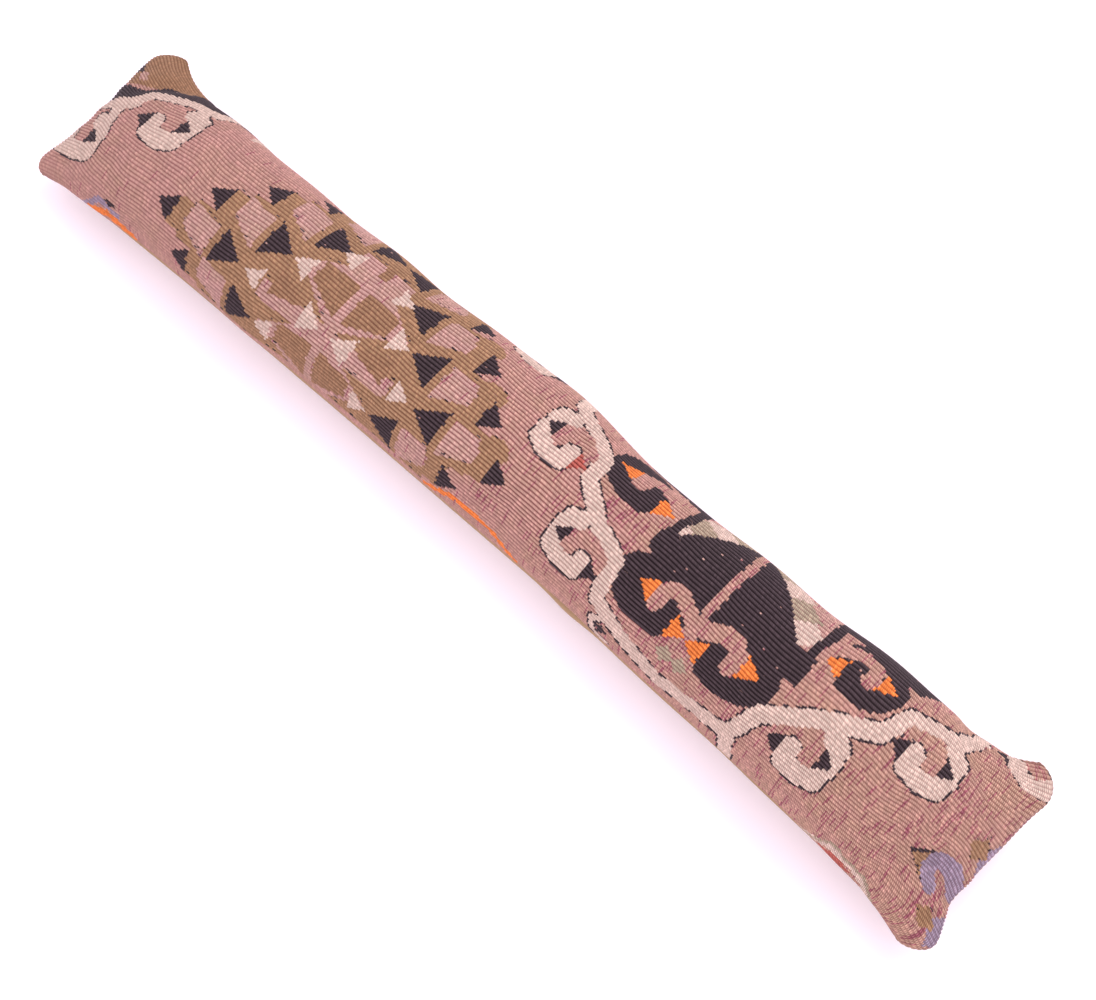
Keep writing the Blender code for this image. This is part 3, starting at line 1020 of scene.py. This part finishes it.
def thread_material(name, colour, twist):
    """Spun thread or loose wool, with its twist or its unevenness along X."""
    material, tree, shader = fabric(name, colour)
    uneven = noise(tree, tree.add("ShaderNodeTexCoord", output="Object"), twist, 2.0)
    tree.fill_in(shader, {
        "Base Color": scaled(tree, tuple(colour), 0.75 + uneven * 0.5),
        "Normal": bumped(tree, 0.4, 0.0001, uneven),
        "Roughness": 0.78 + uneven * 0.16,
    })
    return material


# ---------------- the pieces' meshes

BACK_ROWS = 300
BACK_COLUMNS = 66
RIM_DEPTH = 0.0010
RIM_REACH = 0.0022
RIM_BARE = 0.004  # ribs die out over this last stretch before the seam
BAKE_MARGIN = 0.012
BAKE_STRIP = 0.47  # the second strip starts this far up
BAKE_CORNER_GAP = 0.001
PUFF_REACH = 0.005
PUFF_HEIGHT = 0.0008
PUFFS = named_rows(
    "x reach more",
    (-0.290, 0.060, 0.0004),
    (-0.215, 0.024, 0.0007),
    (0.080, 0.030, 0.0003),
    (0.122, 0.020, 0.0022),
    (0.165, 0.024, 0.0004),
    (0.320, 0.060, 0.0006),
    (0.380, 0.020, 0.0004),
)


def kilim_points():
    """The kilim's outer face, with its ribs where they lie and their crests."""
    stations = np.linspace(0.0, 1.0, WEFT_COUNT + 1)
    points = stuffed(stations, FRONT_COLUMNS, front=True)
    columns = np.arange(FRONT_COLUMNS + 1)
    for row, station in zip(points, stations):
        places = FRONT_COLUMNS * rib_place((station - 0.5) * LENGTH, columns / FRONT_COLUMNS)
        row[:] = np.stack([np.interp(places, columns, axis) for axis in row.T], axis=1)
    rib = columns / STRANDS % 1
    crest = bpy.context.scene.excluder_kilim.relief * (0.5 - np.abs(2 * rib - 1) ** 2)
    bare = np.clip(rim_distance(points) / RIM_BARE, 0.0, 1.0)
    points = points + outward(points) * (bare * crest[None])[..., None]
    points = turn_in(points, RIM_DEPTH, RIM_REACH)
    points[..., 2] += SEAM_GAP / 2
    return points


def puffed(points):
    """The cotton stretches more than the kilim, so it swells out just below the seam."""
    seams = np.stack([points[:, :1], points[:, -1:]])
    below = np.linalg.norm(points[None] - seams, axis=3).min(axis=0) / PUFF_REACH
    from_end = np.clip((LENGTH / 2 - np.abs(points[..., 0])) / END_REACH, 0.0, 1.0)
    height = PUFF_HEIGHT * np.ones_like(below)
    for puff in PUFFS:
        height += puff.more * np.exp(-(((points[..., 0] - puff.x) / puff.reach) ** 2))
    return points - outward(points) * (height * from_end * below * np.exp(1 - below))[..., None]


def cotton_points():
    points = puffed(stuffed(np.linspace(0.0, 1.0, BACK_ROWS + 1), BACK_COLUMNS, front=False))
    points = turn_in(points, RIM_DEPTH, RIM_REACH)
    points[..., 2] = np.clip(points[..., 2] - SEAM_GAP / 2, 0.0, None)
    return points


def closed_panel(name, points, front):
    """A panel's grid with a flat closing face at the seam. The grid's faces come first, row by row."""
    mesh = plain_mesh(name, points, faces=grid_faces(grid_index(points), turned=not front))
    bm = bmesh.new()
    bm.from_mesh(mesh)
    rim = [edge for edge in bm.edges if edge.is_boundary]
    closing = bmesh.ops.contextual_create(bm, geom=rim)["faces"]
    bmesh.ops.triangulate(bm, faces=closing, ngon_method="BEAUTY")
    bmesh.ops.recalc_face_normals(bm, faces=bm.faces)
    bm.to_mesh(mesh)
    bm.free()
    mesh.shade_smooth()
    return added(name, mesh)


def lay_out(obj, points, rib_scale):
    """The weave's own UV map in metres and ribs, and a second one for baking: two strips and a corner."""
    mesh = obj.data
    rows, columns = points.shape[0] - 1, points.shape[1] - 1
    verts = np.empty(len(mesh.loops), int)
    mesh.loops.foreach_get("vertex_index", verts)
    row, column_index = verts // (columns + 1), verts % (columns + 1)
    weave = np.stack([row / rows * LENGTH, column_index / columns * rib_scale], axis=1)
    mesh.uv_layers.new(name="weave").data.foreach_set("uv", weave.astype(np.float32).ravel())
    grid_loops = rows * columns * 4
    face_row = np.arange(rows * columns) // columns
    second = np.zeros(len(mesh.loops), bool)
    second[:grid_loops] = np.repeat(face_row >= rows // 2, 4)
    u = (row / rows - np.where(second, 0.5, 0.0)) * 2 * (1 - 2 * BAKE_MARGIN) + BAKE_MARGIN
    v = column_index / columns * (0.5 - 3 * BAKE_MARGIN) + BAKE_MARGIN + np.where(second, BAKE_STRIP, 0.0)
    bake = np.stack([u, v], axis=1)
    corner = BAKE_MARGIN / 4
    bake[grid_loops:, 0] = row[grid_loops:] / rows * corner
    bake[grid_loops:, 1] = 1 - corner - BAKE_CORNER_GAP + column_index[grid_loops:] / columns * corner
    mesh.uv_layers.new(name="OFBake").data.foreach_set("uv", bake.astype(np.float32).ravel())
    mesh.uv_layers.active = mesh.uv_layers["OFBake"]
    return grid_loops


def dye(obj, grid_loops):
    """Gives each face of the kilim the yarn that its rib and weft have on the chart."""
    kilim = bpy.context.scene.excluder_kilim
    colours = np.array([[*getattr(kilim, name), 0.0] for name in YARNS])
    chart = woven_chart()
    cells = colours[chart.yarn]
    cells[..., 3] = streak_shares(chart)
    corners = np.zeros((len(obj.data.loops), 4))
    corners[:grid_loops] = np.repeat(cells.reshape(-1, 4), 4, axis=0)
    corners[grid_loops:] = colours[0]
    attribute = obj.data.color_attributes.new(name="yarn", type="FLOAT_COLOR", domain="CORNER")
    attribute.data.foreach_set("color", corners.astype(np.float32).ravel())


def hand_over(obj, material):
    obj.data.materials.clear()
    obj.data.materials.append(material)
    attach(obj, BODY)


def node_group(name, values):
    """A geometry tree with a named input for each of the values, ready for its nodes."""
    group = bpy.data.node_groups.new(name, "GeometryNodeTree")
    group.interface.new_socket("Geometry", in_out="INPUT", socket_type="NodeSocketGeometry")
    for label, value in values.items():
        kind = "NodeSocketInt" if isinstance(value, int) else "NodeSocketFloat"
        group.interface.new_socket(label, in_out="INPUT", socket_type=kind)
    group.interface.new_socket("Geometry", in_out="OUTPUT", socket_type="NodeSocketGeometry")
    tree = Tree(group)
    entry = group.nodes.new("NodeGroupInput")
    return tree, {socket.name: Wire(tree, socket) for socket in entry.outputs if socket.name}


def grown(name, source_mesh, make_tree, values, material):
    """Runs a geometry tree on a mesh and returns what it makes as one plain mesh object."""
    source = added(name + "_source", source_mesh)
    modifier = source.modifiers.new(name, "NODES")
    modifier.node_group = make_tree(values, material)
    for item in modifier.node_group.interface.items_tree:
        if item.in_out == "INPUT" and item.name in values:
            modifier[item.identifier] = values[item.name]
    mesh = bpy.data.meshes.new_from_object(source.evaluated_get(bpy.context.evaluated_depsgraph_get()))
    bpy.data.objects.remove(source, do_unlink=True)
    mesh.name = name
    return added(name, mesh)


def finish_tree(tree, instances, material):
    real = tree.add("GeometryNodeRealizeInstances", sockets={"Geometry": instances})
    dyed = tree.add("GeometryNodeSetMaterial", sockets={"Geometry": real, "Material": material})
    tree.fill_in(tree.nodes.nodes.new("NodeGroupOutput"), {"Geometry": dyed})
    return tree.nodes


def seam_line():
    """The seam's loop, in the groove between the panels."""
    rows = np.linspace(0.0, 1.0, BACK_ROWS + 1)
    points = turn_in(stuffed(rows, BACK_COLUMNS, front=False), RIM_DEPTH, RIM_REACH)
    return np.concatenate([points[:, 0], points[-1, 1:], points[-2::-1, -1], points[0, -2:0:-1]])


def seam_tree(values, material):
    """One long bead of thread for each pitch along the seam."""
    tree, wires = node_group("seam_stitches", values)
    line = tree.add("GeometryNodeMeshToCurve", sockets={"Mesh": wires["Geometry"]})
    spaced = tree.add("GeometryNodeResampleCurve", {"mode": "LENGTH"}, {
        "Curve": line, "Length": wires["Pitch"],
    })
    bead = tree.add("GeometryNodeMeshUVSphere", sockets={"Segments": 6, "Rings": 5, "Radius": 0.5})
    tangent = tree.add("GeometryNodeInputTangent")
    turn = tree.add("FunctionNodeAlignRotationToVector", {"axis": "Z"}, {"Vector": tangent})
    size = tree.point(X=wires["Thickness"], Y=wires["Thickness"], Z=wires["Length"])
    stitches = tree.add("GeometryNodeInstanceOnPoints", sockets={
        "Points": spaced, "Instance": bead, "Rotation": turn, "Scale": size,
    })
    return finish_tree(tree, stitches, material)


# A fibre of length 1: it leaves the cloth, rises and leans over
FIBRE_ARC = {
    "Start": (0, 0, -0.05),
    "Start Handle": (0.3, 0.1, 0.25),
    "End Handle": (0.6, -0.1, 0.30),
    "End": (1.0, 0.15, 0.05),
}
FIBRE_RADIUS = 0.016
FIBRE_SIZES = (0.4, 1.3)


def fluff_tree(values, material):
    """Short curved fibres that stand on the cloth wherever the seed puts them."""
    tree, wires = node_group("stray_wool", values)
    points = tree.add("GeometryNodeDistributePointsOnFaces", sockets={
        "Mesh": wires["Geometry"], "Density": wires["Density"], "Seed": wires["Seed"],
    })
    arc = tree.add("GeometryNodeCurvePrimitiveBezierSegment", sockets={"Resolution": 6, **FIBRE_ARC})
    profile = tree.add("GeometryNodeCurvePrimitiveCircle", sockets={"Resolution": 4, "Radius": FIBRE_RADIUS})
    fibre = tree.add("GeometryNodeCurveToMesh", sockets={
        "Curve": arc, "Profile Curve": profile, "Fill Caps": True,
    })

    def anywhere(least, most):
        limits = {"Min": least, "Max": most, "Seed": wires["Seed"]}
        return tree.add("FunctionNodeRandomValue", {"data_type": "FLOAT"}, limits, output=1)

    upright = Wire(tree, points.socket.node.outputs["Rotation"])
    turned = tree.add("FunctionNodeRotateRotation", {"rotation_space": "LOCAL"}, {
        "Rotation": upright, "Rotate By": tree.point(Z=anywhere(0.0, math.tau)),
    })
    fibres = tree.add("GeometryNodeInstanceOnPoints", sockets={
        "Points": points, "Instance": fibre, "Rotation": turned,
        "Scale": anywhere(*FIBRE_SIZES) * wires["Length"],
    })
    return finish_tree(tree, fibres, material)


# ---------------- settings


def dye_property(name, description, default):
    return FloatVectorProperty(
        name=name, description=description, default=default, size=3, subtype="COLOR", min=0.0, max=1.0
    )


def length_property(name, description, default):
    return FloatProperty(name=name, description=description, default=default, unit="LENGTH")


def power_property(name, description, default):
    return FloatProperty(name=name, description=description, default=default, unit="POWER")


def share_property(name, description, default, most):
    return FloatProperty(
        name=name, description=description, default=default, subtype="FACTOR", min=0.0, max=most
    )


class KilimSettings(bpy.types.PropertyGroup):
    rose: dye_property("Rose", "Dye of the rose wool", (0.305, 0.133, 0.120))
    pink: dye_property("Pink", "Dye of the pink wool", (0.322, 0.150, 0.140))
    olive: dye_property("Olive", "Dye of the olive wool", (0.214, 0.098, 0.054))
    # Umber is also charted as painted shade on the far ear at the start.
    umber: dye_property("Umber", "Dye of the umber wool", (0.193, 0.085, 0.047))
    charcoal: dye_property("Charcoal", "Dye of the charcoal wool", (0.0150, 0.0065, 0.0115))
    cream: dye_property("Cream", "Dye of the cream wool", (0.405, 0.255, 0.224))
    orange: dye_property("Orange", "Dye of the orange wool", (0.510, 0.106, 0.018))
    brick: dye_property("Brick", "Dye of the brick wool", (0.250, 0.045, 0.035))
    lilac: dye_property("Lilac", "Dye of the lilac wool", (0.190, 0.120, 0.170))
    sage: dye_property("Sage", "Dye of the sage wool", (0.240, 0.155, 0.116))
    magenta: dye_property("Magenta", "Dye of the magenta wool", (0.175, 0.020, 0.055))
    relief: length_property("Relief", "Height of a rib", 0.0008)
    weft_pitch: length_property("Weft pitch", "From one pass of the weft to the next", 0.0013)
    furrow_sharpness: FloatProperty(
        name="Furrow sharpness", description="How narrow the furrows are", default=1.7, min=1.0
    )
    heather: share_property("Heather", "How uneven the dye is from stitch to stitch", 0.28, 1.0)
    # A painted highlight on the ridges.
    ridge_highlight: share_property("Ridge highlight", "How much the ridges have paled", 0.045, 1.0)


class CottonSettings(bpy.types.PropertyGroup):
    tan: dye_property("Tan", "Dye of the cotton", (0.330, 0.205, 0.110))
    thread_pitch: length_property("Thread pitch", "From one thread to the next", 0.0006)


class StuffingSettings(bpy.types.PropertyGroup):
    pressure: FloatProperty(name="Pressure", description="How hard the stuffing presses out", default=2.0)
    gather: share_property("Gather", "How far the seam draws the cloth together", 0.004, 0.3)
    frames: IntProperty(name="Frames", description="How long the cloth settles", default=12, min=2)
    cap: length_property("Cap", "The furthest that a point of the cloth may move", 0.0015)


class SeamSettings(bpy.types.PropertyGroup):
    pitch: length_property("Pitch", "From stitch to stitch", 0.004)
    length: length_property("Length", "Length of a stitch", 0.003)
    thickness: length_property("Thickness", "Thickness of the thread", 0.0007)
    thread: dye_property("Thread", "Colour of the thread", (0.30, 0.18, 0.11))


class FluffSettings(bpy.types.PropertyGroup):
    density: FloatProperty(name="Density", description="Stray fibres for each square metre", default=400.0)
    length: length_property("Length", "Length of a fibre", 0.004)
    seed: IntProperty(name="Seed", description="Where the fibres fall", default=5)
    wool: dye_property("Wool", "Colour of the stray wool", (0.42, 0.24, 0.21))


class StageSettings(bpy.types.PropertyGroup):
    key: power_property("Key light", "Power of the soft box", 17.0)
    near: power_property("Near light", "Power of the near soft box", 7.6)
    fill: FloatProperty(name="Fill", description="Brightness of the room", default=1.30, min=0.0)
    room: dye_property("Room", "Tint of the room's light", (1.0, 0.94, 0.99))


# ---------------- operators


class EXCLUDER_OT_panels(bpy.types.Operator):
    """Lays the kilim and the cotton over the stuffing"""

    bl_idname = "excluder.panels"
    bl_label = "Kilim and Cotton"

    def execute(self, context):
        points = kilim_points()
        kilim = closed_panel("kilim_cover", points, front=True)
        dye(kilim, lay_out(kilim, points, rib_scale=RIB_COUNT))
        hand_over(kilim, kilim_material())
        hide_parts("kilim_front")
        points = cotton_points()
        cotton = closed_panel("cotton_cover", points, front=False)
        lay_out(cotton, points, rib_scale=STEPS_ACROSS * STEP * MM)
        hand_over(cotton, cotton_material())
        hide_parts("cotton_back")
        return {"FINISHED"}


class EXCLUDER_OT_seam(bpy.types.Operator):
    """Sews the seam all round, with one stitch for each few millimetres"""

    bl_idname = "excluder.seam"
    bl_label = "Seam Stitches"

    def execute(self, context):
        seam = context.scene.excluder_seam
        line = seam_line()
        edges = [(i, (i + 1) % len(line)) for i in range(len(line))]
        mesh = plain_mesh("seam_line", line, edges=edges)
        material = thread_material("sewing_thread", seam.thread, 900.0)
        values = {"Pitch": seam.pitch, "Length": seam.length, "Thickness": seam.thickness}
        stitches = grown("seam_stitches", mesh, seam_tree, values, material)
        hand_over(stitches, material)
        return {"FINISHED"}


class EXCLUDER_OT_fluff(bpy.types.Operator):
    """Leaves loose wool on the kilim"""

    bl_idname = "excluder.fluff"
    bl_label = "Stray Wool"

    def execute(self, context):
        fluff = context.scene.excluder_fluff
        points = kilim_points()[4:-4:4, 6:-6:6]
        mesh = plain_mesh("wool_ground", points, faces=grid_faces(grid_index(points)))
        material = thread_material("stray_wool", fluff.wool, 400.0)
        values = {"Density": fluff.density, "Length": fluff.length, "Seed": fluff.seed}
        wool = grown("stray_wool", mesh, fluff_tree, values, material)
        hand_over(wool, material)
        return {"FINISHED"}


# The camera's place and turn, from the photograph's outline and perspective
CAMERA_PLACE = (0.3705, -0.3402, 1.086)
CAMERA_ELEVATION = math.radians(66.45)
CAMERA_TURN = math.radians(43.56)
CAMERA_LENS = 51.67
CAMERA_SENSOR = 36.0
FLOOR_HALF = 6.0
FLOOR_HEIGHT = -0.0004
FLOOR_COLOUR = (0.88, 0.78, 0.86)
FLOOR_LIGHTER = (0.90, 0.80, 0.88)
FLOOR_GLOW = (0.11, 0.12, 0.13)  # the paper is lit a little from below
SOFT_BOX_SIZE = 1.6
SOFT_BOX_DISTANCE = 1.9
KEY_SIDE = (0.6, 0.4, 0.95)  # to the camera's right, away from it and up
NEAR_SIDE = (-0.5, -0.8, 0.55)


def camera_axes():
    """Level to the camera's right, level away from it, and where it looks."""
    right = Vector((math.cos(CAMERA_TURN), math.sin(CAMERA_TURN), 0))
    ahead = Vector((-math.sin(CAMERA_TURN), math.cos(CAMERA_TURN), 0))
    looking = ahead * math.cos(CAMERA_ELEVATION) - Vector((0, 0, math.sin(CAMERA_ELEVATION)))
    return right, ahead, looking


def floor_material():
    material, tree, shader = fabric("pale_floor", FLOOR_COLOUR)
    soft = noise(tree, tree.add("ShaderNodeTexCoord", output="Object"), 1.5, 1.0)
    tree.fill_in(shader, {
        "Base Color": mixed(tree, soft, FLOOR_COLOUR, FLOOR_LIGHTER),
        "Roughness": 0.9,
        "Emission Color": (*FLOOR_GLOW, 1.0),
        "Emission Strength": 1.0,
    })
    return material


def soft_box(name, power, out):
    """A round soft box that faces the object from this direction."""
    light = added(name, bpy.data.lights.new(name, "AREA"))
    light.data.shape = "DISK"
    light.data.size = SOFT_BOX_SIZE
    light.data.energy = power
    light.location = out.normalized() * SOFT_BOX_DISTANCE
    light.rotation_euler = out.to_track_quat("Z", "Y").to_euler()


class EXCLUDER_OT_stage(bpy.types.Operator):
    """Sets the pale floor, the soft light and the camera"""

    bl_idname = "excluder.stage"
    bl_label = "Stage"

    def execute(self, context):
        scene = context.scene
        stage = scene.excluder_stage
        signs = ((-1, -1), (1, -1), (1, 1), (-1, 1))
        corners = [(x * FLOOR_HALF, y * FLOOR_HALF, FLOOR_HEIGHT) for x, y in signs]
        floor = added("floor", plain_mesh("floor", corners, faces=[(0, 1, 2, 3)]))
        floor.data.materials.append(floor_material())
        right, ahead, looking = camera_axes()
        up = right.cross(looking)
        camera = added("camera", bpy.data.cameras.new("camera"))
        camera.data.lens = CAMERA_LENS
        camera.data.sensor_width = CAMERA_SENSOR
        camera.data.sensor_fit = "HORIZONTAL"
        turn = Matrix((right, up, -looking)).transposed()
        camera.matrix_world = Matrix.Translation(CAMERA_PLACE) @ turn.to_4x4()
        scene.camera = camera
        to_world = Matrix((right, ahead, (0, 0, 1))).transposed()
        soft_box("soft_box", stage.key, to_world @ Vector(KEY_SIDE))
        soft_box("near_box", stage.near, to_world @ Vector(NEAR_SIDE))
        world = bpy.data.worlds.new("studio")
        world.use_nodes = True
        backdrop = world.node_tree.nodes["Background"]
        backdrop.inputs["Color"].default_value = (*stage.room, 1.0)
        backdrop.inputs["Strength"].default_value = stage.fill
        scene.world = world
        scene.view_settings.view_transform = "Standard"
        return {"FINISHED"}


class EXCLUDER_PT_panel(bpy.types.Panel):
    """Every step of the draught excluder, in the order that they run"""

    bl_idname = "EXCLUDER_PT_panel"
    bl_label = "Draught Excluder"
    bl_space_type = "VIEW_3D"
    bl_region_type = "UI"
    bl_category = "Draught Excluder"

    def draw(self, context):
        for operator, settings in STEPS:
            self.layout.operator(operator.bl_idname)
            for name in settings:
                group = getattr(context.scene, name)
                for prop in group.bl_rna.properties.keys()[2:]:
                    self.layout.prop(group, prop)


STEPS = (
    (EXCLUDER_OT_panels, ("excluder_kilim", "excluder_cotton", "excluder_stuffing")),
    (EXCLUDER_OT_seam, ("excluder_seam",)),
    (EXCLUDER_OT_fluff, ("excluder_fluff",)),
    (EXCLUDER_OT_stage, ("excluder_stage",)),
)
SETTINGS = {
    "excluder_kilim": KilimSettings,
    "excluder_cotton": CottonSettings,
    "excluder_stuffing": StuffingSettings,
    "excluder_seam": SeamSettings,
    "excluder_fluff": FluffSettings,
    "excluder_stage": StageSettings,
}


def register():
    for name, settings in SETTINGS.items():
        bpy.utils.register_class(settings)
        setattr(bpy.types.Scene, name, PointerProperty(type=settings))
    for operator, _ in STEPS:
        bpy.utils.register_class(operator)
    bpy.utils.register_class(EXCLUDER_PT_panel)


def unregister():
    bpy.utils.unregister_class(EXCLUDER_PT_panel)
    for operator, _ in reversed(STEPS):
        bpy.utils.unregister_class(operator)
    for name, settings in reversed(SETTINGS.items()):
        delattr(bpy.types.Scene, name)
        bpy.utils.unregister_class(settings)


def main():
    register()
    bpy.ops.excluder.panels()
    bpy.ops.excluder.seam()
    bpy.ops.excluder.fluff()
    bpy.ops.excluder.stage()


if __name__ == "__main__":
    main()
